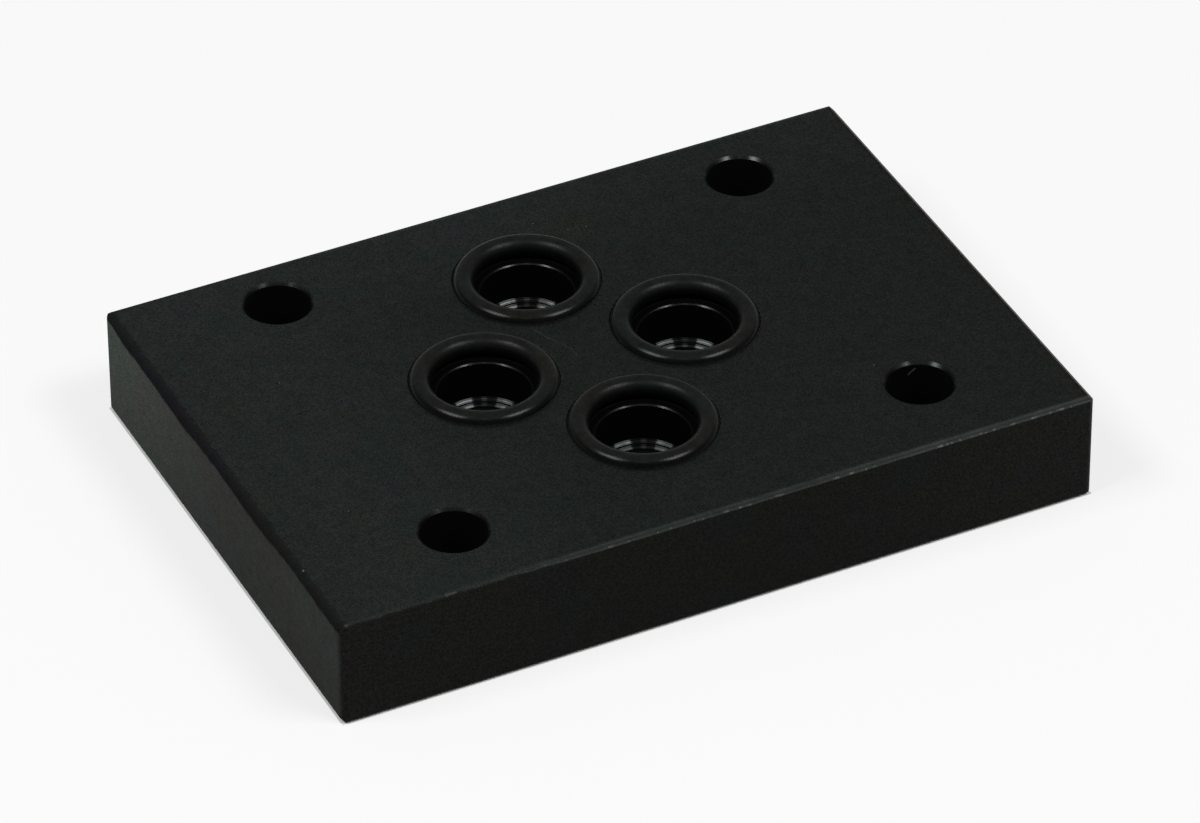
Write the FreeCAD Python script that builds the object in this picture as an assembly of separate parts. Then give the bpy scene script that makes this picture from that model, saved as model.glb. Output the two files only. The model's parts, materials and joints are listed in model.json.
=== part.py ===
import FreeCAD, Part
import math
import os

from FreeCAD import Vector

# Blanking plate that closes a size 03 valve station, with the four O-rings that seal its ports.
# All sizes are in millimetres. The origin is the centre of the plate's plain back face.
# +X runs along the long side, +Y along the short side and +Z out of the sealed face.

# Screw pattern of the station, as seen looking onto the sealed face
screw_spacing_x = 40.5
screw_spacing_wide = 32.5
screw_spacing_narrow = 31.0
screw_hole_diameter = 5.3
screw_hole_break = 0.25

# Distance from the outermost screw axes to the plate's edges
margin_wide_end = 12.75
margin_narrow_end = 11.35
margin_front = 7.0
margin_back = 5.0

# Plate
plate_thickness = 9.5
corner_round = 0.6
long_edge_break = 0.3
short_edge_break = 0.45

# Ports, each a blind drilled pocket with a flat seat for its O-ring
pt_port_spacing = 20.8
ab_port_spacing = 17.5
pt_port_shift = -1.25
ab_port_shift = -1.2
port_diameter = 7.5
port_edge_break = 0.1
metal_behind_port = 2.7

# Drill point at the bottom of a port, with the rings that the drill's lips leave near its rim
drill_point_angle = 118.0
lip_ring_count = 2
lip_ring_width = 0.42
lip_ring_steep_width = 0.26
lip_ring_steep_slope = 40.0

# O-rings, seated against the wall of their counterbores and standing proud of the sealed face
seat_diameter = 12.0
ring_section = 1.78
ring_stands_proud = 0.55
ring_wall_gap = 0.02
ring_floor_gap = 0.02

# How far a cutting shape reaches past the face it opens
overshoot = 1.0

# Directions of the plate's long side, its short side and its thickness
along_x = Vector(1, 0, 0)
along_y = Vector(0, 1, 0)
along_z = Vector(0, 0, 1)

# Worked out from the sizes above
plate_length = screw_spacing_x + margin_wide_end + margin_narrow_end
plate_width = screw_spacing_wide + margin_front + margin_back
pattern_x = (margin_wide_end - margin_narrow_end) / 2
pattern_y = (margin_front - margin_back) / 2
seat_depth = ring_section + ring_floor_gap - ring_stands_proud
seat_floor = plate_thickness - seat_depth


def screw_places():
    """Axes of the four screw holes: two at the wide end, two at the narrow end."""
    wide_x = pattern_x - screw_spacing_x / 2
    narrow_x = pattern_x + screw_spacing_x / 2
    wide_half = screw_spacing_wide / 2
    narrow_half = screw_spacing_narrow / 2
    return [
        (wide_x, pattern_y - wide_half),
        (wide_x, pattern_y + wide_half),
        (narrow_x, pattern_y - narrow_half),
        (narrow_x, pattern_y + narrow_half),
    ]


def port_places():
    """Axis of each port, by the letter that a valve station gives it."""
    pt_x = pattern_x + pt_port_shift
    ab_x = pattern_x + ab_port_shift
    return {
        "p": (pt_x, pattern_y + pt_port_spacing / 2),
        "t": (pt_x, pattern_y - pt_port_spacing / 2),
        "a": (ab_x + ab_port_spacing / 2, pattern_y),
        "b": (ab_x - ab_port_spacing / 2, pattern_y),
    }


def turned(profile, place):
    """Solid turned about a vertical axis from points of radius and height."""
    points = [Vector(radius, 0, height) for radius, height in profile]
    outline = Part.makePolygon(points + points[:1])
    solid = Part.Face(outline).revolve(Vector(0, 0, 0), along_z, 360)
    solid.translate(Vector(place[0], place[1], 0))
    return solid


def edges_along(shape, axis, height=None):
    """Straight edges parallel to one axis, all of them or those at one height."""
    found = []
    for edge in shape.Edges:
        start = edge.Vertexes[0].Point
        run = edge.Vertexes[-1].Point - start
        parallel = abs(abs(run.dot(axis)) - run.Length) < 1e-6
        level = height is None or abs(start.z - height) < 1e-6
        if parallel and level:
            found.append(edge)
    return found


def plate_blank():
    """Milled block with every edge broken, the short ends more than the long sides."""
    block = Part.makeBox(
        plate_length,
        plate_width,
        plate_thickness,
        Vector(-plate_length / 2, -plate_width / 2, 0),
    )
    for axis, edge_break in ((along_x, long_edge_break), (along_y, short_edge_break)):
        rims = edges_along(block, axis, 0) + edges_along(block, axis, plate_thickness)
        block = block.makeChamfer(edge_break, rims)
    return block.makeFillet(corner_round, edges_along(block, along_z))


def screw_hole(place):
    """Through hole for one screw, its edge broken at both faces."""
    radius = screw_hole_diameter / 2
    mouth = radius + screw_hole_break + overshoot
    profile = [
        (0, -overshoot),
        (mouth, -overshoot),
        (radius, screw_hole_break),
        (radius, plate_thickness - screw_hole_break),
        (mouth, plate_thickness + overshoot),
        (0, plate_thickness + overshoot),
    ]
    return turned(profile, place)


def drill_point(rim_radius, tip_height):
    """Points of a drill's cone from rim to tip, with the rings its lips leave near the rim."""
    slope = math.tan(math.radians(90 - drill_point_angle / 2))
    steep = math.tan(math.radians(lip_ring_steep_slope))
    rim_height = tip_height + rim_radius * slope
    points = [(rim_radius, rim_height)]
    for ring in range(lip_ring_count):
        outer = rim_radius - ring * lip_ring_width
        outer_height = tip_height + outer * slope
        step = outer - lip_ring_steep_width
        inner = outer - lip_ring_width
        points.append((step, outer_height - lip_ring_steep_width * steep))
        points.append((inner, tip_height + inner * slope))
    points.append((0, tip_height))
    return points


def port_pocket(place):
    """Counterbore for the O-ring with the blind port below it."""
    seat_radius = seat_diameter / 2
    port_radius = port_diameter / 2
    profile = [
        (0, plate_thickness + overshoot),
        (seat_radius, plate_thickness + overshoot),
        (seat_radius, seat_floor),
        (port_radius + port_edge_break, seat_floor),
        (port_radius, seat_floor - port_edge_break),
    ]
    profile += drill_point(port_radius, metal_behind_port)
    return turned(profile, place)


def plate():
    """The whole plate: block, screw holes and ports."""
    body = plate_blank()
    for place in screw_places():
        body = body.cut(screw_hole(place))
    for place in port_places().values():
        body = body.cut(port_pocket(place))
    return body


def o_ring(place):
    """O-ring lying in its seat."""
    tube_radius = ring_section / 2
    centre_radius = seat_diameter / 2 - ring_wall_gap - tube_radius
    centre_height = seat_floor + ring_floor_gap + tube_radius
    centre = Vector(place[0], place[1], centre_height)
    return Part.makeTorus(centre_radius, tube_radius, centre, along_z)


def export(name, shape):
    """Write one piece, and say what it is."""
    shape.exportStep("parts/" + name + ".step")
    print(name, "valid", shape.isValid(), "solids", len(shape.Solids), "volume", round(shape.Volume, 2))


os.makedirs("parts", exist_ok=True)
export("plate", plate())
for letter, place in port_places().items():
    export("o_ring_" + letter, o_ring(place))
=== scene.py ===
import json
import math
from functools import reduce
from types import SimpleNamespace

import bmesh
import bpy
from mathutils import Euler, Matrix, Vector


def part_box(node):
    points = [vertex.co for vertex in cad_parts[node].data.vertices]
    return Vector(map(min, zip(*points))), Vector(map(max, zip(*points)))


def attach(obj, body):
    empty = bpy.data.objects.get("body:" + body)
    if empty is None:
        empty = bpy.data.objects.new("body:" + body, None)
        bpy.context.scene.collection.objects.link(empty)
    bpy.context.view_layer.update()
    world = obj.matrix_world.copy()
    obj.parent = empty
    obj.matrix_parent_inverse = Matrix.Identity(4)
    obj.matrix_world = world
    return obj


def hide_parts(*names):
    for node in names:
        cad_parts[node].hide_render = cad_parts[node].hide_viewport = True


# Looks of a blanking plate for a size 03 valve station: a blackened steel plate with four O-rings.
# The frame's origin is the centre of the plate's back face, and the sealed face looks along +Z.

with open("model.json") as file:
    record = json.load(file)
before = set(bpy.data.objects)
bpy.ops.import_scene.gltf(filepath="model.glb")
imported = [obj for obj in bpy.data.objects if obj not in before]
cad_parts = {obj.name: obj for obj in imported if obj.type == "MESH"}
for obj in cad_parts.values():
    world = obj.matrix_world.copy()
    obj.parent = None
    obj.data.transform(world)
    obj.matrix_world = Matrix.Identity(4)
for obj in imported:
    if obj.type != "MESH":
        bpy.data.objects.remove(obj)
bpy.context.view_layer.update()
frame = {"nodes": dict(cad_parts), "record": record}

MM = 0.001
PORTS = "ptab"

# Camera, as the photograph's perspective gives it
CAMERA_AIM = (-3.030 * MM, -6.816 * MM, 9.5 * MM)
CAMERA_DISTANCE = 623.2 * MM
CAMERA_AZIMUTH = 26.003
CAMERA_ELEVATION = 37.124
CAMERA_ROLL = -0.222
CAMERA_LENS = 241.22
CAMERA_CLIP = (0.01, 20.0)
SENSOR_WIDTH = 36.0

# Studio: lamp azimuths are counted from the camera's own, positive to its right
LAMP_DISTANCE = 0.8
SIDE_LAMP_AZIMUTH = 66.0
SIDE_LAMP_ELEVATION = 56.0
SIDE_LAMP_SIZE = (0.34, 0.23)
SIDE_LAMP_POWER = 2.9
TOP_LAMP_ELEVATION = 61.0
TOP_LAMP_SIZE = (0.12, 0.12)
TOP_LAMP_POWER = 0.12
TOP_LAMP_COLOR = (1.0, 0.9, 0.75)
ROOM_LEVEL = 0.2
HORIZON_LEVEL = 0.85
HORIZON_TOP = 0.17
FLOOR_COLOR = (0.9, 0.9, 0.9)
FLOOR_ROUGHNESS = 0.9
FLOOR_GLOW = 0.7
FLOOR_SIZE = 6.0

# O-ring mesh
RING_STEPS = 192
RING_TUBE_STEPS = 48

# Oxide on the ground faces, the milled long sides and the milled ends, each with its two tints
# The long sides' colours are darker and the ends' lighter than the ground faces', as painted shade and
# painted light
GROUND_GREY = (0.0117, 0.0130, 0.0121)
GROUND_TEAL = (0.0100, 0.0129, 0.0120)
GROUND_VIOLET = (0.0114, 0.0123, 0.0128)
SIDE_GREY = (0.0062, 0.0063, 0.0058)
SIDE_OLIVE = (0.0064, 0.0063, 0.0046)
SIDE_TEAL = (0.0052, 0.0068, 0.0063)
END_GREY = (0.0190, 0.0206, 0.0175)
END_GREEN = (0.0169, 0.0226, 0.0180)
END_BLUE = (0.0184, 0.0206, 0.0211)
FACE_TINTS = (
    (GROUND_GREY, GROUND_TEAL, GROUND_VIOLET),
    (SIDE_GREY, SIDE_OLIVE, SIDE_TEAL),
    (END_GREY, END_GREEN, END_BLUE),
)

# Colours in some places: the right border of the ground face, the short edges, the pockets, a stain and a
# pale line in a screw hole
GROUND_BROWN = (0.0127, 0.0130, 0.0108)
SHORT_EDGE_GREY = (0.0058, 0.0063, 0.0060)
SHORT_EDGE_TEAL = (0.0044, 0.0066, 0.0074)
SHORT_EDGE_VIOLET = (0.0060, 0.0056, 0.0074)
BORE_OXIDE = (0.0034, 0.0036, 0.0034)
PORT_OXIDE = (0.0018, 0.0019, 0.0018)
HOLE_CHAMFER_OXIDE = (0.0070, 0.0078, 0.0074)
# Painted shade on the seat floors and the rims' sides, painted light on the seat lips
SEAT_FLOOR_SHADE = (0.0014, 0.0014, 0.0016)
SEAT_LIP_LIGHT = (0.065, 0.071, 0.068)
STAIN_OXIDE = (0.0122, 0.0136, 0.0111)
HOLE_LINE_COLOR = (0.075, 0.075, 0.070)

# Bare metal: the rims of ports and screw holes, drill points, rubbed edges and nicks
PORT_RIM_METAL = (0.030, 0.031, 0.030)
HOLE_CHAMFER_METAL = (0.028, 0.031, 0.032)
DRILL_POINT_METAL = (0.027, 0.030, 0.031)
RUBBED_METAL = (0.31, 0.35, 0.33)
NICK_METAL = (0.5, 0.5, 0.48)

# Share of bare metal in a surface that is partly blackened, less on the chamfers of the left screw holes
PORT_RIM_SHARE = 0.95
HOLE_CHAMFER_SHARE = 0.85
HOLE_CHAMFER_LEFT_SHARE = 0.22
DRILL_POINT_SHARE = 0.62
SEAT_LINE_SHARE = 0.2
NICK_SHARE = 0.5
EDGE_NICK_SHARE = 0.07

# Rubber, with the dust that lies on it
RUBBER_BLACK = (0.0082, 0.0097, 0.0089)
RUBBER_BROWN = (0.0096, 0.0102, 0.0085)
RUBBER_GREEN = (0.0078, 0.0102, 0.0095)

# Radii just outside the plate's pockets, and how far inside its seat's radius the lip with painted light
# starts
SEAT_REACH = 6.01 * MM
SCREW_HOLE_REACH = 2.91 * MM
PORT_RIM_REACH = 3.86 * MM
SEAT_LIP_INSET = 0.04 * MM

# Widths of the plate's broken edges
SCREW_HOLE_BREAK = 0.25 * MM
LONG_EDGE_BREAK = 0.3 * MM
PORT_RIM_BREAK = 0.1 * MM

# Heights in a port
SEAT_FLOOR = 8.25 * MM
DRILL_POINT_TOP = 4.96 * MM

# Soft borders of masks: in most places, at a seat's floor, and at the sealed face, with that mask's reach
MASK_SOFT = 0.02 * MM
FLOOR_SOFT = 0.01 * MM
TOP_SOFT = 0.03 * MM
TOP_REACH = 0.05 * MM

# Many tuples from here on are soft steps, the arguments of Nodes.span: where they lie, then their levels

# Parts of a face's normal that tell the ends, the upright faces and the chamfers, and the level of the
# painted shade on the chamfers round the back face
END_FACING = (0.75, 0.9)
STANDING_FACING = (0.5, 0.3)
SLOPED_FACING = ((0.3, 0.6), (0.95, 0.85))
UNDER_SHADE_LEVEL = 0.4

# Side of the holes away from the camera, with bare metal for glints, and the lean of chamfers, rims and
# drill points at which it shows
FAR_SIDE = (0.438, 0.899, 0.0)
CHAMFER_PALE_LEAN = (0.5, 0.85)
CHAMFER_BARE_LEAN = (0.65, 0.85)
CHAMFER_MIDDLE_LEAN = (1.0, 0.95, 0.3, 1.0)
# Rims whose lean is low get painted shade
RIM_SHADE_LEAN = (0.6, 0.3)
RIM_BARE_LEAN = (0.62, 0.88, 0.1, PORT_RIM_SHARE)
RIM_SMOOTH_LEAN = (0.35, 0.65)
POINT_BARE_LEAN = (0.47, 0.6, 0.4, 1.0)

# Ragged borders on a hole's chamfer: their swing, how the face's oxide ends there, and how bare metal starts
RAGGED_SWING = 0.15 * MM
RAGGED_OXIDE = (0.0, SCREW_HOLE_BREAK * 0.8)
RAGGED_METAL = (0.0, 0.08 * MM, 0.4, 1.0)

# Patterns of the steel, as arguments of Nodes.noise
GRAIN = {"scale": 9000.0, "detail": 1.0}
PITS = {"scale": 6500.0, "offset": (0.5, 0.0, 0.0)}
COARSE_GRAIN = {"scale": 4800.0, "roughness": 0.6, "offset": (0.0, 0.0, 0.9)}
MOTTLE = {"scale": 900.0, "detail": 3.0, "roughness": 0.7, "offset": (0.0, 0.7, 0.0)}
TINT_DRIFT = {"scale": 210.0}
TINT_PATCH = {"scale": 210.0, "detail": 1.0, "offset": (0.3, 0.1, 0.2)}
STREAKS = {"scale": 420.0, "detail": 3.0, "roughness": 0.7, "stretch": (1.0, 0.3, 0.3)}
WANDER = {"scale": 700.0, "roughness": 0.7, "stretch": (1.0, 0.0, 0.0)}
SPOTS = {"scale": 2000.0, "stretch": (1.0, 0.4, 0.4)}
POINT_MOTTLE = {"scale": 700.0, "roughness": 0.6, "offset": (0.0, 0.3, 0.6)}
TURNED_LINES = {"scale": 8000.0, "detail": 1.0}

# Tints: how they drift, and the brown along the right border, by its distance to the end
TINT_DRIFT_SPAN = (0.42, 0.62)
TINT_PATCH_SPAN = (0.57, 0.72)
END_TINT_STRETCH = 0.5
BROWN_START = 1.6 * MM
BROWN_FULL = 0.3 * MM

# Broad fades: where they lie, in shares of the plate's half length unless in millimetres, and their levels
LEFT_FADE = (0.15, 0.8)
LEFT_LEVELS = (1.0, 1.36)
BACK_FADE_START = 8.0 * MM
BACK_RIGHT_FADE = (0.0, 0.4)
BACK_RIGHT_LEVELS = (1.0, 0.5)
BACK_LEFT_FADE = (0.62, 0.1)
BACK_LEFT_LEVELS = (0.08, 0.4)
SIDE_FADE_START = 5.0 * MM
SIDE_RIGHT_LEVELS = (0.7, 1.04)
SIDE_LEFT_LEVEL = 0.96
# On the ends: painted light towards the back and the top, painted shade towards the front and the foot
END_FADE = (-6.0 * MM, 24.0 * MM, 0.79, 2.0)
END_LEVELS_UP = (0.9, 1.06)

# Strength of grain, pits and mottle
FINE_GRAIN_SPAN = (0.2, 0.8, -0.5, 0.5)
COARSE_GRAIN_SPAN = (0.25, 0.75, -0.75, 0.75)
END_GRAIN = 1.3
PIT_SPAN = (0.2, 0.34, 0.45, 1.0)
MOTTLE_SPAN = (0.3, 0.7, -1.0, 1.0)
MOTTLE_ON_ENDS = 0.05
MOTTLE_ELSEWHERE = 0.1

# Dark oxide of the short edges: its border on the end face waves along Y, and it narrows towards the corners
EDGE_WAVE_LENGTH = 14.0 * MM
EDGE_WAVE_CREST = 8.0 * MM
EDGE_WAVE_HEIGHT = 0.13 * MM
EDGE_WAVE_MIDDLE = 0.86 * MM
EDGE_BACK_START = 17.5 * MM
EDGE_BACK_LEVEL = 0.25
EDGE_FRONT = (-15.0 * MM, -8.0 * MM, 0.84, 1.0)
EDGE_MOTTLE_SWING = 0.5 * MM
EDGE_PIT_SWING = 0.3 * MM
EDGE_ON_END = (0.36 * MM, -0.06 * MM)
EDGE_STEP = (0.9 * MM, 0.6 * MM)
EDGE_STEP_SHARE = 0.55
EDGE_FADE_ON_FACE = (0.6 * MM, 0.0, 0.0, 0.45)
EDGE_END_LEVEL = 0.68
EDGE_TEAL = ((9.0 * MM, 12.0 * MM), (20.0 * MM, 17.0 * MM))
EDGE_VIOLET = ((-3.0 * MM, 0.5 * MM), (13.0 * MM, 10.5 * MM))

# Rubbed long edges: wear to the left and the right, its streaks, and the ragged border of the rubbed band
WORN_LEFT = (-25.0 * MM, -7.0 * MM)
WORN_RIGHT = (8.0 * MM, 22.0 * MM)
WORN_RIGHT_SHARE = 0.5
STREAK_SPAN = (0.3, 0.7, 0.7, 1.3)
BAND_SOFT = 0.03 * MM
BAND_SWING = (-20.0 * MM, -9.0 * MM, 0.36 * MM, 0.08 * MM)
BAND_MIDDLE = (-20.0 * MM, -9.0 * MM, 0.2 * MM, 0.3 * MM)
BAND_SHARE = 0.02

# In widths of the broken edge: how far the band reaches, and where its upper corner and the chamfer lie
BAND_REACH = (2.3, 1.2)
UPPER_CORNER = 1.15
SIDE_CHAMFER = (1.05, 0.95)

# The two corners of the chamfer that stand out in the band
UPPER_CORNER_WIDTH = 0.17 * MM
UPPER_CORNER_SHARE = 0.03
LOWER_CORNER = -0.07 * MM
LOWER_CORNER_WIDTH = 0.08 * MM
LOWER_CORNER_SHARES = (0.54, 0.68, 0.025, 0.14)

# Drill point: dark inside two radii, a bright ring between them with a dark line at its outer side, and
# bright metal outside, all with fine turned lines
STEP_INNER = 3.0 * MM
STEP_OUTER = 3.31 * MM
RING_RISE = (STEP_INNER - 0.02 * MM, STEP_INNER + 0.04 * MM, 0.15, 1.0)
RING_FALL = (STEP_OUTER - 0.07 * MM, STEP_OUTER - 0.12 * MM, 0.15, 1.3)
RING_OUTSIDE = (STEP_OUTER, STEP_OUTER + 0.03 * MM)
TURNED_SPAN = (0.42, 0.58, 0.4, 1.75)
POINT_MOTTLE_SPAN = (0.35, 0.6, 0.45, 1.0)

# Tool mark on the floor of each O-ring seat, inside the O-ring
SEAT_LINE_RADIUS = 4.45 * MM
SEAT_LINE_WIDTH = 0.07 * MM
SEAT_LINE_HEIGHT = 0.03 * MM

# Marks as places in millimetres, round ones with their radius: nicks of bare metal, a scratch between the
# O-rings, grime beside one, a stain beside another, and a pale line in a screw hole
NICKS = (
    (18.79, -10.92, 0.07),
    (-31.87, -14.72, 0.1),
    (-23.76, 7.6, 0.06),
    (-25.75, -9.58, 0.06),
    (5.32, 16.01, 0.05),
    (6.77, 15.69, 0.06),
    (3.13, 17.94, 0.05),
)
CORNER_NICK = ((-31.8, -22.08), (-31.6, -22.08))
EDGE_STREAK = ((-23.5, -22.08), (-22.6, -22.08))
SCRATCH = ((-3.02, 5.22), (-2.62, 3.92), (-1.87, 2.47), (-1.47, 1.57), (-1.42, 0.42))
GRIME = (-3.52, -14.88, 1.5)
STAIN = (5.8, 15.9, 2.2)
HOLE_LINE = ((21.34, -11.88, 8.38), (21.85, -12.01, 8.87))
EDGE_NICK_WIDTH = 0.09 * MM
SCRATCH_WIDTH = 0.06 * MM
HOLE_LINE_WIDTH = 0.09 * MM

# Full strength of a round mark and of a line, in shares of its radius or width
POINT_CORE = 0.4
LINE_CORE = 0.3

# How far down the marks reach, breaks in them, and their levels
NICK_DEPTH = (0.4 * MM, 0.35 * MM)
EDGE_NICK_DEPTH = (0.35 * MM, 0.3 * MM)
SCRATCH_BREAKS = (0.3, 0.55, 0.3, 1.0)
SCRATCH_LEVEL = 2.3
GRIME_REACH = (6.5 * MM, 6.2 * MM)
GRIME_BREAKS = (0.35, 0.55, 1.0, 0.4)
GRIME_LEVEL = 0.4

# Painted shadow beside each O-ring: how far its circle lies off the port's axis towards the camera, its
# border and level
SHADOW_SHIFT = (-0.22 * MM, -0.45 * MM, 0.0)
SHADOW_REACH = (6.1 * MM, 5.6 * MM)
SHADOW_LEVEL = 0.4

# Gloss of the steel: refraction, roughness of its parts, and bump of its grain
OXIDE_IOR = 1.12
GROUND_ROUGHNESS = (0.2, 0.8, 0.5, 0.4)
END_ROUGHNESS = (0.3, 0.7, 0.66, 0.6)
SHORT_EDGE_ROUGHNESS = 0.98
BARE_ROUGHNESS = 0.35
BORE_ROUGHNESS = 0.6
RIM_ROUGHNESS = 0.2
DRILL_POINT_ROUGHNESS = 0.1
HOLE_CHAMFER_ROUGHNESS = 0.2
GRAIN_HEIGHT = 0.004 * MM
GRAIN_BUMP = 0.6
BORE_BUMP = 0.1

# Rubber: its patterns, painted shade and painted light by the distance to the port's axis, and gloss
RUBBER_DUST = {"scale": 180.0}
RUBBER_CAST = {"scale": 150.0, "detail": 1.0, "offset": (0.4, 0.2, 0.0)}
RUBBER_BLOTCHES = {"scale": 1100.0, "detail": 4.0, "roughness": 0.75, "offset": (0.1, 0.0, 0.5)}
RUBBER_GRAIN = {"scale": 6000.0}
DUST_SPAN = (0.4, 0.65)
CAST_SPAN = (0.42, 0.65)
BLOTCH_SPAN = (0.3, 0.7, 0.72, 1.28)
INNER_RUBBER_SHADE = (4.2 * MM, 4.8 * MM, 0.35, 1.0)
OUTER_RUBBER_SHADE = (5.5 * MM, 5.82 * MM)
OUTER_RUBBER_SHADE_LEVEL = 0.85
RUBBER_SHADOW_REACH = (5.85 * MM, 5.5 * MM)
RUBBER_SHADOW_LEVEL = 0.2
RUBBER_FOOT_LIGHT = (5.92 * MM, 5.96 * MM, 0.0, 3.4)
RUBBER_IOR = 1.22
RUBBER_ROUGHNESS = (0.3, 0.7, 0.2, 0.26)
RUBBER_INNER_MATT = (4.85 * MM, 4.45 * MM, 1.0, 1.7)
RUBBER_GRAIN_HEIGHT = 0.002 * MM
RUBBER_BUMP = 0.2


class Nodes:
    """Short way to add and join shader nodes of one tree."""

    def __init__(self, tree):
        self.tree = tree

    def add(self, kind, inputs=None, **settings):
        node = self.tree.nodes.new(kind)
        for name, value in settings.items():
            setattr(node, name, value)
        for key, value in (inputs or {}).items():
            self.set(node.inputs[key], value)
        return node

    def set(self, socket, value):
        if isinstance(value, bpy.types.NodeSocket):
            self.tree.links.new(value, socket)
        else:
            socket.default_value = value

    def math(self, operation, first, second=0.0, third=0.0, clamp=False):
        node = self.add("ShaderNodeMath", operation=operation, use_clamp=clamp)
        for socket, value in zip(node.inputs, (first, second, third)):
            self.set(socket, value)
        return node.outputs[0]

    def both(self, first, second):
        return self.math("MULTIPLY", first, second)

    def either(self, first, second):
        return self.math("MAXIMUM", first, second)

    def smaller(self, first, second):
        return self.math("MINIMUM", first, second)

    def plus(self, first, second):
        return self.math("ADD", first, second)

    def opposite(self, share):
        return self.math("SUBTRACT", 1.0, share)

    def absolute(self, value):
        return self.math("ABSOLUTE", value)

    def gap(self, first, second):
        """How far apart two numbers are."""
        return self.absolute(self.math("SUBTRACT", first, second))

    def weighed(self, value, weight, rest):
        """A value times its weight, with the rest added."""
        return self.math("MULTIPLY_ADD", value, weight, rest)

    def vector(self, operation, first, second):
        return self.add("ShaderNodeVectorMath", {0: first, 1: second}, operation=operation).outputs

    def moved(self, place, x, y, z):
        return self.vector("ADD", place, (x, y, z))[0]

    def scaled(self, place, x, y, z):
        return self.vector("MULTIPLY", place, (x, y, z))[0]

    def distance(self, place, point):
        return self.vector("DISTANCE", place, point)["Value"]

    def dot(self, first, second):
        return self.vector("DOT_PRODUCT", first, second)["Value"]

    def times(self, vector, factor):
        """A colour or another vector, times a number."""
        return self.add("ShaderNodeVectorMath", {0: vector, "Scale": factor}, operation="SCALE").outputs[0]

    def parts(self, vector):
        return self.add("ShaderNodeSeparateXYZ", {"Vector": vector}).outputs

    def joined(self, x, y=0.0, z=0.0):
        return self.add("ShaderNodeCombineXYZ", {"X": x, "Y": y, "Z": z}).outputs[0]

    def noise(self, place, scale, detail=2.0, roughness=0.5, offset=None, stretch=None):
        if stretch:
            place = self.scaled(place, *stretch)
        if offset:
            place = self.moved(place, *offset)
        inputs = {"Vector": place, "Scale": scale, "Detail": detail, "Roughness": roughness}
        return self.add("ShaderNodeTexNoise", inputs).outputs[0]

    def span(self, value, low, high, to_low=0.0, to_high=1.0):
        """Soft step from one level to another, as a value goes from low to high. Low can be the greater."""
        node = self.add("ShaderNodeMapRange", interpolation_type="SMOOTHSTEP")
        for socket, given in zip(node.inputs[:5], (value, low, high, to_low, to_high)):
            self.set(socket, given)
        return node.outputs[0]

    def below(self, value, limit, soft=MASK_SOFT):
        """1 below a limit, and 0 above it."""
        return self.span(value, limit, limit - soft)

    def above(self, value, limit, soft=MASK_SOFT):
        """1 above a limit, and 0 below it."""
        return self.span(value, limit - soft, limit)

    def between(self, value, rise, fall):
        """1 between two soft steps, one up and one down."""
        return self.both(self.span(value, *rise), self.span(value, *fall))

    def color_mix(self, share, first, second):
        node = self.add("ShaderNodeMix", data_type="RGBA")
        self.set(node.inputs["Factor"], share)
        for socket, color in zip(node.inputs[6:8], (first, second)):
            self.set(socket, (*color, 1.0) if isinstance(color, tuple) else color)
        return node.outputs[2]

    def mix(self, share, first, second):
        """Number that goes from the first value to the second."""
        node = self.add("ShaderNodeMix", data_type="FLOAT")
        for socket, value in zip((node.inputs[0], node.inputs[2], node.inputs[3]), (share, first, second)):
            self.set(socket, value)
        return node.outputs[0]


def new_material(name):
    """Material with a fresh shader: the material, the way to add nodes to it, and the shader."""
    material = bpy.data.materials.new(name)
    material.use_nodes = True
    material.node_tree.nodes.clear()
    nodes = Nodes(material.node_tree)
    shader = nodes.add("ShaderNodeBsdfPrincipled")
    output = nodes.add("ShaderNodeOutputMaterial")
    nodes.set(output.inputs["Surface"], shader.outputs[0])
    return material, nodes, shader


def spread(length, shares):
    """Places at some shares of a length."""
    return [length * share for share in shares]


def port_axes():
    """Centre of each O-ring, which is on its port's axis."""
    boxes = [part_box("o_ring_" + letter) for letter in PORTS]
    return [(low + high) / 2 for low, high in boxes]


def screw_axes():
    """A point on the axis of each screw hole, from the mounts that the record states."""
    centres = []
    for mount in frame["record"]["mounts"]:
        if mount["kind"] == "bolt_pattern":
            half = Vector((0.0, mount["dims"]["spacing_y_mm"] * MM / 2, 0.0))
            centre = Vector(mount["pos_m"])
            centres += [centre - half, centre + half]
    return centres


def axis_gap(nodes, flat, centres):
    """Distance to the nearest of some vertical axes."""
    return reduce(nodes.smaller, [nodes.distance(flat, (centre.x, centre.y, 0.0)) for centre in centres])


def shadow_gap(nodes, flat):
    """Distance to the nearest middle of a painted shadow beside an O-ring."""
    return axis_gap(nodes, flat, [centre + Vector(SHADOW_SHIFT) for centre in port_axes()])


def near_points(nodes, flat, points):
    """1 near the middle of round marks, each given as its place and radius in millimetres."""
    marks = []
    for x, y, radius in points:
        gap = nodes.distance(flat, (x * MM, y * MM, 0.0))
        marks.append(nodes.span(gap, radius * MM, radius * MM * POINT_CORE))
    return reduce(nodes.either, marks)


def near_line(nodes, place, points, width):
    """1 along a line through points in millimetres, 0 beyond its width."""
    lines = []
    for start, end in zip(points, points[1:]):
        origin = Vector(start).to_3d() * MM
        run = Vector(end).to_3d() * MM - origin
        offset = nodes.moved(place, *(-origin))
        share = nodes.math("DIVIDE", nodes.dot(offset, run), run.length_squared, clamp=True)
        gap = nodes.distance(offset, nodes.times(run, share))
        lines.append(nodes.span(gap, width, width * LINE_CORE))
    return reduce(nodes.either, lines)


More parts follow.
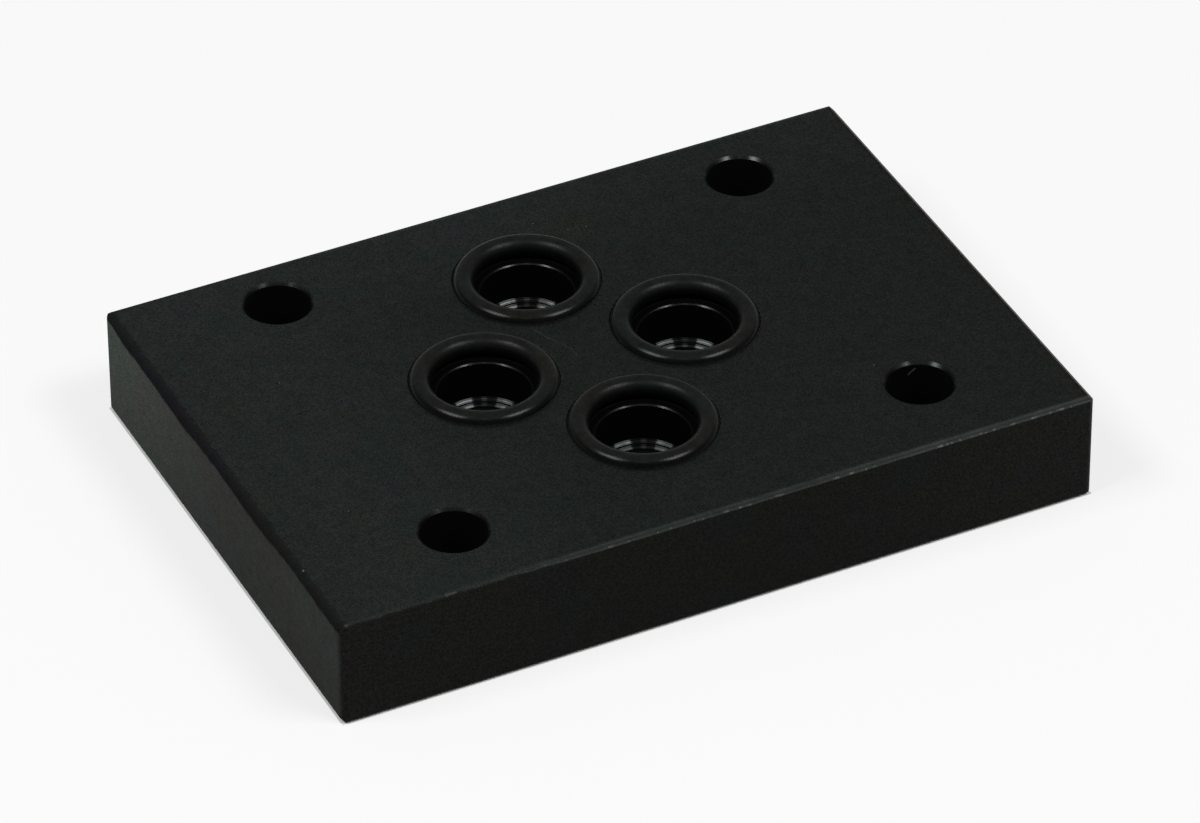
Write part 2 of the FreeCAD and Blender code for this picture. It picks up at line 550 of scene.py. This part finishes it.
def plate_places(nodes):
    """Where a point lies on the plate: its coordinates, and masks of the plate's own features."""
    at = SimpleNamespace()
    coordinates = nodes.add("ShaderNodeTexCoord").outputs
    at.place = coordinates["Object"]
    at.flat = nodes.scaled(at.place, 1.0, 1.0, 0.0)
    at.x, at.y, at.z = nodes.parts(at.place)
    at.low, at.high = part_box("plate")
    at.depth = nodes.math("SUBTRACT", at.high.z, at.z)
    at.end_gap = nodes.math("SUBTRACT", at.high.x, nodes.absolute(at.x))
    at.side_gap = nodes.math("SUBTRACT", at.high.y, nodes.absolute(at.y))
    at.top = nodes.below(at.depth, TOP_REACH, TOP_SOFT)
    at.grain = nodes.noise(at.place, **GRAIN)
    at.pits = nodes.noise(at.place, **PITS)
    at.coarse = nodes.noise(at.place, **COARSE_GRAIN)
    at.mottle = nodes.noise(at.place, **MOTTLE)
    add_pockets(nodes, at)
    add_faces(nodes, at, coordinates["Normal"])
    return at


def add_pockets(nodes, at):
    """Masks of the ports with their O-ring seats, of the screw holes, and of their broken edges."""
    at.port_gap = axis_gap(nodes, at.flat, port_axes())
    at.port = nodes.below(at.port_gap, SEAT_REACH)
    at.screw = nodes.below(axis_gap(nodes, at.flat, screw_axes()), SCREW_HOLE_REACH)
    at.bore = nodes.either(at.port, at.screw)
    at.solid = nodes.opposite(at.bore)
    at.drill_point = nodes.both(at.port, nodes.below(at.z, DRILL_POINT_TOP))

    # Chamfers of the screw holes, and the depth below the face with a ragged swing
    face_gap = nodes.smaller(at.z, at.depth)
    at.hole_chamfer = nodes.both(at.screw, nodes.below(face_gap, SCREW_HOLE_BREAK))
    at.ragged = nodes.weighed(nodes.math("SUBTRACT", at.pits, 0.5), RAGGED_SWING, face_gap)

    # Rim of each port, and the floor, lip and tool mark of its seat
    rim_place = nodes.below(at.port_gap, PORT_RIM_REACH)
    rim_height = nodes.above(at.z, SEAT_FLOOR - PORT_RIM_BREAK)
    at.port_rim = nodes.both(nodes.both(rim_place, rim_height), nodes.below(at.z, SEAT_FLOOR, FLOOR_SOFT))
    at.seat_floor = nodes.both(at.port, nodes.above(at.z, SEAT_FLOOR, FLOOR_SOFT))
    at.seat_lip = nodes.both(at.port, nodes.above(at.port_gap, SEAT_REACH - SEAT_LIP_INSET))
    line_gap = nodes.gap(at.port_gap, SEAT_LINE_RADIUS)
    at.seat_line = nodes.both(at.port, nodes.span(line_gap, SEAT_LINE_WIDTH, 0.0))


def add_faces(nodes, at, normal):
    """Masks of the faces, by the way that they look. The lean is 1 where a chamfer is on the side away from
    the camera.
    """
    facing = nodes.parts(normal)
    upright = nodes.absolute(facing["Z"])
    at.end = nodes.both(at.solid, nodes.span(nodes.absolute(facing["X"]), *END_FACING))
    standing = nodes.both(at.solid, nodes.span(upright, *STANDING_FACING))
    at.side = nodes.both(standing, nodes.opposite(at.end))
    sloped = nodes.between(upright, *SLOPED_FACING)
    at.under = nodes.both(nodes.both(at.solid, sloped), nodes.math("LESS_THAN", facing["Z"], 0.0))
    at.lean = nodes.both(nodes.dot(normal, FAR_SIDE), -math.sqrt(2))


def oxide_tint(nodes, at, side):
    """Oxide colour, with soft patches of tint a few millimetres wide."""
    stretched = nodes.both(at.y, nodes.mix(at.end, 1.0, END_TINT_STRETCH))
    even = nodes.joined(at.x, stretched, at.z)
    drift = nodes.span(nodes.noise(even, **TINT_DRIFT), *TINT_DRIFT_SPAN)
    patch = nodes.span(nodes.noise(even, **TINT_PATCH), *TINT_PATCH_SPAN)
    tints = []
    for plain, drifting, patched in FACE_TINTS:
        tints.append(nodes.color_mix(patch, nodes.color_mix(drift, plain, drifting), patched))
    # Besides their tints, the long sides' set is darker as painted shade and the ends' set lighter as
    # painted light
    ground, long_side, end = tints
    ground = nodes.color_mix(near_points(nodes, at.flat, (STAIN,)), ground, STAIN_OXIDE)
    brown = nodes.span(at.x, at.high.x - BROWN_START, at.high.x - BROWN_FULL)
    ground = nodes.color_mix(brown, ground, GROUND_BROWN)
    return nodes.color_mix(at.end, nodes.color_mix(side, ground, long_side), end)


def broad_shade(nodes, at, side):
    """Broad fades in brightness along the faces; those on the ends are painted light and painted shade."""
    left, right = at.low.x, at.high.x
    back = nodes.span(at.y, BACK_FADE_START, at.high.y)
    back = nodes.both(back, nodes.span(at.x, *spread(right, BACK_RIGHT_FADE), *BACK_RIGHT_LEVELS))
    back = nodes.both(back, nodes.span(at.x, *spread(left, BACK_LEFT_FADE), *BACK_LEFT_LEVELS))
    ground = nodes.span(at.x, *spread(left, LEFT_FADE), *LEFT_LEVELS)
    ground = nodes.both(ground, nodes.plus(back, 1.0))
    long_side = nodes.span(at.x, SIDE_FADE_START, right, *SIDE_RIGHT_LEVELS)
    long_side = nodes.mix(nodes.span(at.x, -SIDE_FADE_START, left), long_side, SIDE_LEFT_LEVEL)
    end = nodes.both(nodes.span(at.y, *END_FADE), nodes.span(at.z, 0.0, at.high.z, *END_LEVELS_UP))
    return nodes.mix(at.end, nodes.mix(side, ground, long_side), end)


def grain_shade(nodes, at):
    """Grain and pits of the metal, coarser on the milled long sides."""
    fine = nodes.both(nodes.span(at.grain, *FINE_GRAIN_SPAN), nodes.mix(at.end, 1.0, END_GRAIN))
    coarse = nodes.span(at.coarse, *COARSE_GRAIN_SPAN)
    grain = nodes.plus(nodes.mix(at.side, fine, coarse), 1.0)
    shade = nodes.both(grain, nodes.span(at.pits, *PIT_SPAN))
    mottled = nodes.mix(at.end, MOTTLE_ELSEWHERE, MOTTLE_ON_ENDS)
    return nodes.both(shade, nodes.weighed(nodes.span(at.mottle, *MOTTLE_SPAN), mottled, 1.0))


def mark_shade(nodes, at):
    """A pale scratch, grime beside the port that lies lowest in Y, and a painted shadow beside each O-ring.
    """
    scratch = nodes.both(at.top, near_line(nodes, at.flat, SCRATCH, SCRATCH_WIDTH))
    scratch = nodes.both(scratch, nodes.span(at.mottle, *SCRATCH_BREAKS))
    low_ring = min(port_axes(), key=lambda centre: centre.y)
    beside = nodes.span(nodes.distance(at.flat, (low_ring.x, low_ring.y, 0.0)), *GRIME_REACH)
    grime = nodes.both(nodes.both(at.top, beside), near_points(nodes, at.flat, (GRIME,)))
    grime = nodes.both(grime, nodes.span(at.pits, *GRIME_BREAKS))
    # Painted shadow on the face beside each O-ring, on the side towards the camera
    ring_shadow = nodes.both(at.top, nodes.span(shadow_gap(nodes, at.flat), *SHADOW_REACH))
    shade = nodes.both(nodes.mix(scratch, 1.0, SCRATCH_LEVEL), nodes.mix(ring_shadow, 1.0, SHADOW_LEVEL))
    return nodes.both(shade, nodes.mix(grime, 1.0, GRIME_LEVEL))


def short_edge(nodes, at):
    """Short edges: share and colour of the dark oxide, which has a wavy border on the end face."""
    turn = 2 * math.pi / EDGE_WAVE_LENGTH
    wave = nodes.math("COSINE", nodes.weighed(at.y, turn, -turn * EDGE_WAVE_CREST))
    border = nodes.weighed(wave, EDGE_WAVE_HEIGHT, EDGE_WAVE_MIDDLE)
    border = nodes.both(border, nodes.span(at.y, at.high.y, EDGE_BACK_START, EDGE_BACK_LEVEL, 1.0))
    border = nodes.both(border, nodes.span(at.y, *EDGE_FRONT))
    uneven = nodes.weighed(at.mottle, EDGE_MOTTLE_SWING, -EDGE_MOTTLE_SWING / 2)
    uneven = nodes.weighed(at.pits, EDGE_PIT_SWING, uneven)

    # Its share on the sealed face, in a step and a fade, and on the end face
    step = nodes.span(nodes.plus(at.end_gap, uneven), *EDGE_STEP)
    on_face = nodes.weighed(step, EDGE_STEP_SHARE, nodes.span(at.end_gap, *EDGE_FADE_ON_FACE))
    under_border = nodes.math("SUBTRACT", nodes.plus(at.depth, uneven), border)
    on_end = nodes.span(under_border, *EDGE_ON_END)

    # Its colour, by stretches along Y
    color = nodes.color_mix(nodes.between(at.y, *EDGE_VIOLET), SHORT_EDGE_GREY, SHORT_EDGE_VIOLET)
    color = nodes.color_mix(nodes.between(at.y, *EDGE_TEAL), color, SHORT_EDGE_TEAL)
    return nodes.mix(at.end, on_face, on_end), nodes.times(color, nodes.mix(at.end, 1.0, EDGE_END_LEVEL))


def long_edge(nodes, at):
    """Long edges: share of rubbed metal on the chamfer, and where the side's oxide starts below it."""
    worn = nodes.weighed(nodes.span(at.x, *WORN_RIGHT), WORN_RIGHT_SHARE, nodes.span(at.x, *WORN_LEFT))
    worn = nodes.both(worn, nodes.span(nodes.noise(at.place, **STREAKS), *STREAK_SPAN))

    # Ragged border of the rubbed band
    wander = nodes.math("SUBTRACT", nodes.noise(at.place, **WANDER), 0.5)
    border = nodes.weighed(wander, nodes.span(at.x, *BAND_SWING), nodes.span(at.x, *BAND_MIDDLE))
    under_border = nodes.math("SUBTRACT", at.depth, border)
    over = nodes.span(under_border, BAND_SOFT, -BAND_SOFT)

    # The band, and the two corners of the chamfer that stand out in it
    near = nodes.both(at.solid, nodes.span(at.side_gap, *spread(LONG_EDGE_BREAK, BAND_REACH)))
    band = nodes.both(near, over)
    upper_gap = nodes.gap(at.side_gap, LONG_EDGE_BREAK * UPPER_CORNER)
    upper = nodes.both(band, nodes.span(upper_gap, UPPER_CORNER_WIDTH, BAND_SOFT))
    lower_gap = nodes.gap(under_border, LOWER_CORNER)
    lower = nodes.both(band, nodes.span(lower_gap, LOWER_CORNER_WIDTH, BAND_SOFT))
    spots = nodes.span(nodes.noise(at.place, **SPOTS), *LOWER_CORNER_SHARES)
    rubbed = nodes.weighed(band, BAND_SHARE, nodes.both(lower, spots))
    rubbed = nodes.weighed(upper, UPPER_CORNER_SHARE, rubbed)

    chamfer = nodes.both(at.solid, nodes.span(at.side_gap, *spread(LONG_EDGE_BREAK, SIDE_CHAMFER)))
    return nodes.both(rubbed, worn), nodes.both(chamfer, nodes.opposite(over))


def pocket_oxide(nodes, at, oxide):
    """Oxide colour in the ports and screw holes, whose chamfers fade out of the face's own oxide, with
    painted shade and light in the seats.
    """
    darkest = nodes.color_mix(nodes.span(at.lean, *CHAMFER_PALE_LEAN), BORE_OXIDE, HOLE_CHAMFER_OXIDE)
    chamfer = nodes.color_mix(nodes.span(at.ragged, *RAGGED_OXIDE), oxide, darkest)
    pocket = nodes.color_mix(at.port, nodes.color_mix(at.hole_chamfer, BORE_OXIDE, chamfer), PORT_OXIDE)
    # Painted shade on the seat floors and on the rims' sides, painted light on the seat lips
    shaded_rim_side = nodes.both(at.port_rim, nodes.span(at.lean, *RIM_SHADE_LEAN))
    pocket = nodes.color_mix(nodes.either(at.seat_floor, shaded_rim_side), pocket, SEAT_FLOOR_SHADE)
    pocket = nodes.color_mix(at.seat_lip, pocket, SEAT_LIP_LIGHT)
    # A pale line on the wall of a screw hole
    return nodes.color_mix(near_line(nodes, at.place, HOLE_LINE, HOLE_LINE_WIDTH), pocket, HOLE_LINE_COLOR)


def nick_share(nodes, at):
    """Share of bare metal in the nicks of the sealed face and of the front edge."""
    nicks = nodes.both(nodes.span(at.depth, *NICK_DEPTH), near_points(nodes, at.flat, NICKS))
    marks = [near_line(nodes, at.flat, line, EDGE_NICK_WIDTH) for line in (CORNER_NICK, EDGE_STREAK)]
    edge_nicks = nodes.both(nodes.either(*marks), nodes.span(at.depth, *EDGE_NICK_DEPTH))
    return nodes.either(nodes.both(nicks, NICK_SHARE), nodes.both(edge_nicks, EDGE_NICK_SHARE))


def point_metal(nodes, at):
    """Metal of the drill points: a bright ring in a darker cone, with fine turned lines."""
    cone = nodes.between(at.port_gap, RING_RISE, RING_FALL)
    cone = nodes.either(cone, nodes.span(at.port_gap, *RING_OUTSIDE))
    turned = nodes.noise(nodes.joined(at.port_gap), **TURNED_LINES)
    cone = nodes.both(cone, nodes.span(turned, *TURNED_SPAN))
    cone = nodes.both(cone, nodes.span(at.lean, *POINT_BARE_LEAN))
    return nodes.times(DRILL_POINT_METAL, cone)


def pocket_share(nodes, at):
    """Share of bare metal in the ports and screw holes."""
    rim = nodes.both(at.port_rim, nodes.span(at.lean, *RIM_BARE_LEAN))
    share = nodes.either(rim, nodes.both(at.seat_line, SEAT_LINE_SHARE))
    point = nodes.span(nodes.noise(at.place, **POINT_MOTTLE), *POINT_MOTTLE_SPAN)
    share = nodes.either(share, nodes.both(at.drill_point, nodes.both(point, DRILL_POINT_SHARE)))
    chamfer = nodes.both(nodes.span(at.lean, *CHAMFER_BARE_LEAN), nodes.span(at.lean, *CHAMFER_MIDDLE_LEAN))
    along = nodes.span(at.x, at.low.x / 2, at.high.x / 2, HOLE_CHAMFER_LEFT_SHARE, HOLE_CHAMFER_SHARE)
    chamfer = nodes.both(nodes.both(chamfer, along), nodes.span(at.ragged, *RAGGED_METAL))
    return nodes.either(share, nodes.both(at.hole_chamfer, chamfer))


def steel_roughness(nodes, at, bare, dark_share):
    """Roughness of the faces, of the bare metal on them, and of the pockets."""
    end_matt = nodes.mix(dark_share, nodes.span(at.mottle, *END_ROUGHNESS), SHORT_EDGE_ROUGHNESS)
    matt = nodes.mix(at.end, nodes.span(at.grain, *GROUND_ROUGHNESS), end_matt)
    worn = nodes.mix(bare, matt, BARE_ROUGHNESS)
    smooth = nodes.either(nodes.both(at.port_rim, nodes.span(at.lean, *RIM_SMOOTH_LEAN)), at.seat_line)
    pocket = nodes.mix(smooth, BORE_ROUGHNESS, RIM_ROUGHNESS)
    pocket = nodes.mix(at.drill_point, pocket, DRILL_POINT_ROUGHNESS)
    pocket = nodes.mix(at.hole_chamfer, pocket, HOLE_CHAMFER_ROUGHNESS)
    return nodes.mix(at.bore, worn, pocket)


def blackened_steel():
    """Blackened steel: grained oxide, dark machined bores and rubbed edges."""
    material, nodes, shader = new_material("blackened_steel")
    shader.inputs["IOR"].default_value = OXIDE_IOR
    at = plate_places(nodes)

    # Oxide
    rubbed, below = long_edge(nodes, at)
    side = nodes.either(at.side, nodes.both(below, nodes.opposite(at.end)))
    oxide = nodes.times(oxide_tint(nodes, at, side), broad_shade(nodes, at, side))
    dark_share, dark_color = short_edge(nodes, at)
    oxide = nodes.color_mix(dark_share, oxide, dark_color)
    shade = nodes.both(grain_shade(nodes, at), mark_shade(nodes, at))
    # Painted shade on the chamfers that face down, round the back face
    oxide = nodes.times(oxide, nodes.both(shade, nodes.mix(at.under, 1.0, UNDER_SHADE_LEVEL)))
    oxide = nodes.color_mix(at.bore, oxide, pocket_oxide(nodes, at, oxide))

    # Metal
    nicks = nick_share(nodes, at)
    metal = nodes.color_mix(at.drill_point, PORT_RIM_METAL, point_metal(nodes, at))
    metal = nodes.color_mix(at.hole_chamfer, metal, HOLE_CHAMFER_METAL)
    metal = nodes.color_mix(at.bore, RUBBED_METAL, metal)
    metal = nodes.color_mix(nicks, metal, NICK_METAL)
    share = nodes.either(nodes.mix(at.bore, rubbed, pocket_share(nodes, at)), nicks)
    nodes.set(shader.inputs["Metallic"], share)
    nodes.set(shader.inputs["Base Color"], nodes.color_mix(share, oxide, metal))

    # Gloss, the ridge of each tool mark, and the grain
    bare = nodes.either(rubbed, nicks)
    nodes.set(shader.inputs["Roughness"], steel_roughness(nodes, at, bare, dark_share))
    ridge = {"Height": at.seat_line, "Distance": SEAT_LINE_HEIGHT, "Strength": 1.0}
    normal = nodes.add("ShaderNodeBump", ridge).outputs[0]
    grain = {"Height": at.grain, "Distance": GRAIN_HEIGHT, "Normal": normal}
    grain["Strength"] = nodes.mix(at.bore, GRAIN_BUMP, BORE_BUMP)
    nodes.set(shader.inputs["Normal"], nodes.add("ShaderNodeBump", grain).outputs[0])
    return material


def nitrile_rubber():
    """Black moulded rubber with a little dust, browner in some places and greener in others."""
    material, nodes, shader = new_material("nitrile_rubber")
    shader.inputs["IOR"].default_value = RUBBER_IOR
    place = nodes.add("ShaderNodeTexCoord").outputs["Object"]
    flat = nodes.scaled(place, 1.0, 1.0, 0.0)
    gap = axis_gap(nodes, flat, port_axes())

    # Colour
    dust = nodes.span(nodes.noise(place, **RUBBER_DUST), *DUST_SPAN)
    cast = nodes.span(nodes.noise(place, **RUBBER_CAST), *CAST_SPAN)
    color = nodes.color_mix(dust, RUBBER_BLACK, RUBBER_BROWN)
    color = nodes.color_mix(cast, color, RUBBER_GREEN)

    # Painted shade on the inner and outer sides and in the ring's painted shadow, painted light at the foot,
    # and blotches
    outer = nodes.span(gap, *OUTER_RUBBER_SHADE)
    shadowed = nodes.both(outer, nodes.span(shadow_gap(nodes, flat), *RUBBER_SHADOW_REACH))
    outer_light_and_shade = nodes.mix(shadowed, nodes.mix(outer, 1.0, OUTER_RUBBER_SHADE_LEVEL), RUBBER_SHADOW_LEVEL)
    outer_light_and_shade = nodes.either(outer_light_and_shade, nodes.span(gap, *RUBBER_FOOT_LIGHT))
    shade = nodes.both(nodes.span(gap, *INNER_RUBBER_SHADE), outer_light_and_shade)
    shade = nodes.both(shade, nodes.span(nodes.noise(place, **RUBBER_BLOTCHES), *BLOTCH_SPAN))
    nodes.set(shader.inputs["Base Color"], nodes.times(color, shade))

    # Gloss
    grain = nodes.noise(place, **RUBBER_GRAIN)
    matt = nodes.both(nodes.span(grain, *RUBBER_ROUGHNESS), nodes.span(gap, *RUBBER_INNER_MATT))
    nodes.set(shader.inputs["Roughness"], matt)
    bump = {"Height": grain, "Distance": RUBBER_GRAIN_HEIGHT, "Strength": RUBBER_BUMP}
    nodes.set(shader.inputs["Normal"], nodes.add("ShaderNodeBump", bump).outputs[0])
    return material


def ring_mesh(name, centre, ring, tube):
    """Fine mesh of an O-ring with these radii."""
    mesh = bpy.data.meshes.new(name)
    shape = bmesh.new()
    rows = []
    for step in range(RING_STEPS):
        turn = 2 * math.pi * step / RING_STEPS
        row = []
        for side in range(RING_TUBE_STEPS):
            angle = 2 * math.pi * side / RING_TUBE_STEPS
            radius = ring + tube * math.cos(angle)
            place = Vector((radius * math.cos(turn), radius * math.sin(turn), tube * math.sin(angle)))
            row.append(shape.verts.new(centre + place))
        rows.append(row)
    for this, following in zip(rows, rows[1:] + rows[:1]):
        for side in range(RING_TUBE_STEPS):
            beside = (side + 1) % RING_TUBE_STEPS
            shape.faces.new((this[side], following[side], following[beside], this[beside]))
    shape.to_mesh(mesh)
    shape.free()
    mesh.shade_smooth()
    return mesh


def add_object(name, data):
    piece = bpy.data.objects.new(name, data)
    bpy.context.scene.collection.objects.link(piece)
    return piece


def o_ring(node, material):
    """O-ring on the place of its CAD node, in a finer mesh."""
    low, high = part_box(node)
    tube = (high.z - low.z) / 2
    ring = (high.x - low.x) / 2 - tube
    mesh = ring_mesh(node + "_rubber", (low + high) / 2, ring, tube)
    mesh.materials.append(material)
    piece = add_object(node + "_rubber", mesh)
    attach(piece, "root")
    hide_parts(node)


def direction(azimuth, elevation):
    """Unit vector from the object towards a place round it. Azimuth 0 is towards -Y, 90 towards -X."""
    turn, lift = math.radians(azimuth), math.radians(elevation)
    level = math.cos(lift)
    return Vector((-math.sin(turn) * level, -math.cos(turn) * level, math.sin(lift)))


def add_camera():
    data = bpy.data.cameras.new("camera")
    data.lens = CAMERA_LENS
    data.sensor_width = SENSOR_WIDTH
    data.sensor_fit = "HORIZONTAL"
    data.clip_start, data.clip_end = CAMERA_CLIP
    camera = add_object("camera", data)
    back = direction(CAMERA_AZIMUTH, CAMERA_ELEVATION)
    turned = back.to_track_quat("Z", "Y").to_matrix().to_4x4()
    roll = Euler((0.0, 0.0, math.radians(CAMERA_ROLL))).to_matrix().to_4x4()
    camera.matrix_world = turned @ roll
    camera.location = Vector(CAMERA_AIM) + back * CAMERA_DISTANCE
    bpy.context.scene.camera = camera


def add_lamp(name, azimuth, elevation, size, power, color=(1.0, 1.0, 1.0)):
    """Softbox that faces the object from one side of the camera."""
    data = bpy.data.lights.new(name, "AREA")
    data.shape = "RECTANGLE"
    data.size, data.size_y = size
    data.energy = power
    data.color = color
    lamp = add_object(name, data)
    back = direction(CAMERA_AZIMUTH - azimuth, elevation)
    lamp.rotation_euler = back.to_track_quat("Z", "Y").to_euler()
    lamp.location = back * LAMP_DISTANCE


def add_world():
    """Room that is pale at the horizon and dimmer above."""
    world = bpy.data.worlds.new("studio")
    world.use_nodes = True
    world.node_tree.nodes.clear()
    nodes = Nodes(world.node_tree)
    height = nodes.parts(nodes.add("ShaderNodeTexCoord").outputs["Generated"])["Z"]
    level = nodes.span(height, 0.0, HORIZON_TOP, HORIZON_LEVEL, ROOM_LEVEL)
    background = nodes.add("ShaderNodeBackground", {"Strength": level})
    background.inputs["Color"].default_value = (1.0, 1.0, 1.0, 1.0)
    output = nodes.add("ShaderNodeOutputWorld")
    nodes.set(output.inputs["Surface"], background.outputs[0])
    bpy.context.scene.world = world


def floor_material():
    """White floor that keeps the object's shadow, and glows beside the object, in its gloss too."""
    material, nodes, shader = new_material("floor")
    shader.inputs["Base Color"].default_value = (*FLOOR_COLOR, 1.0)
    shader.inputs["Roughness"].default_value = FLOOR_ROUGHNESS
    shader.inputs["Specular IOR Level"].default_value = 0.0
    rays = nodes.add("ShaderNodeLightPath").outputs
    seen = nodes.either(rays["Is Camera Ray"], rays["Is Glossy Ray"])
    seen = nodes.either(seen, rays["Is Transmission Ray"])
    place = nodes.parts(nodes.add("ShaderNodeTexCoord").outputs["Object"])
    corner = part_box("plate")[1]
    beyond_x = nodes.math("GREATER_THAN", nodes.absolute(place["X"]), corner.x)
    beyond_y = nodes.math("GREATER_THAN", nodes.absolute(place["Y"]), corner.y)
    seen = nodes.both(seen, nodes.either(beyond_x, beyond_y))
    glow = nodes.add("ShaderNodeEmission", {"Strength": 1.0}).outputs[0]
    blend = {0: nodes.both(seen, FLOOR_GLOW), 1: shader.outputs[0], 2: glow}
    output = next(node for node in nodes.tree.nodes if node.type == "OUTPUT_MATERIAL")
    nodes.set(output.inputs["Surface"], nodes.add("ShaderNodeMixShader", blend).outputs[0])
    return material


def add_floor():
    half = FLOOR_SIZE / 2
    mesh = bpy.data.meshes.new("floor")
    corners = [(-half, -half, 0.0), (half, -half, 0.0), (half, half, 0.0), (-half, half, 0.0)]
    mesh.from_pydata(corners, [], [(0, 1, 2, 3)])
    mesh.materials.append(floor_material())
    floor = add_object("floor", mesh)


frame["nodes"]["plate"].data.materials[0] = blackened_steel()
rubber = nitrile_rubber()
for letter in PORTS:
    o_ring("o_ring_" + letter, rubber)
add_floor()
add_world()
add_lamp("left_softbox", -SIDE_LAMP_AZIMUTH, SIDE_LAMP_ELEVATION, SIDE_LAMP_SIZE, SIDE_LAMP_POWER)
add_lamp("right_softbox", SIDE_LAMP_AZIMUTH, SIDE_LAMP_ELEVATION, SIDE_LAMP_SIZE, SIDE_LAMP_POWER)
add_lamp("top_lamp", 0.0, TOP_LAMP_ELEVATION, TOP_LAMP_SIZE, TOP_LAMP_POWER, TOP_LAMP_COLOR)
add_camera()
bpy.context.scene.view_settings.view_transform = "Standard"
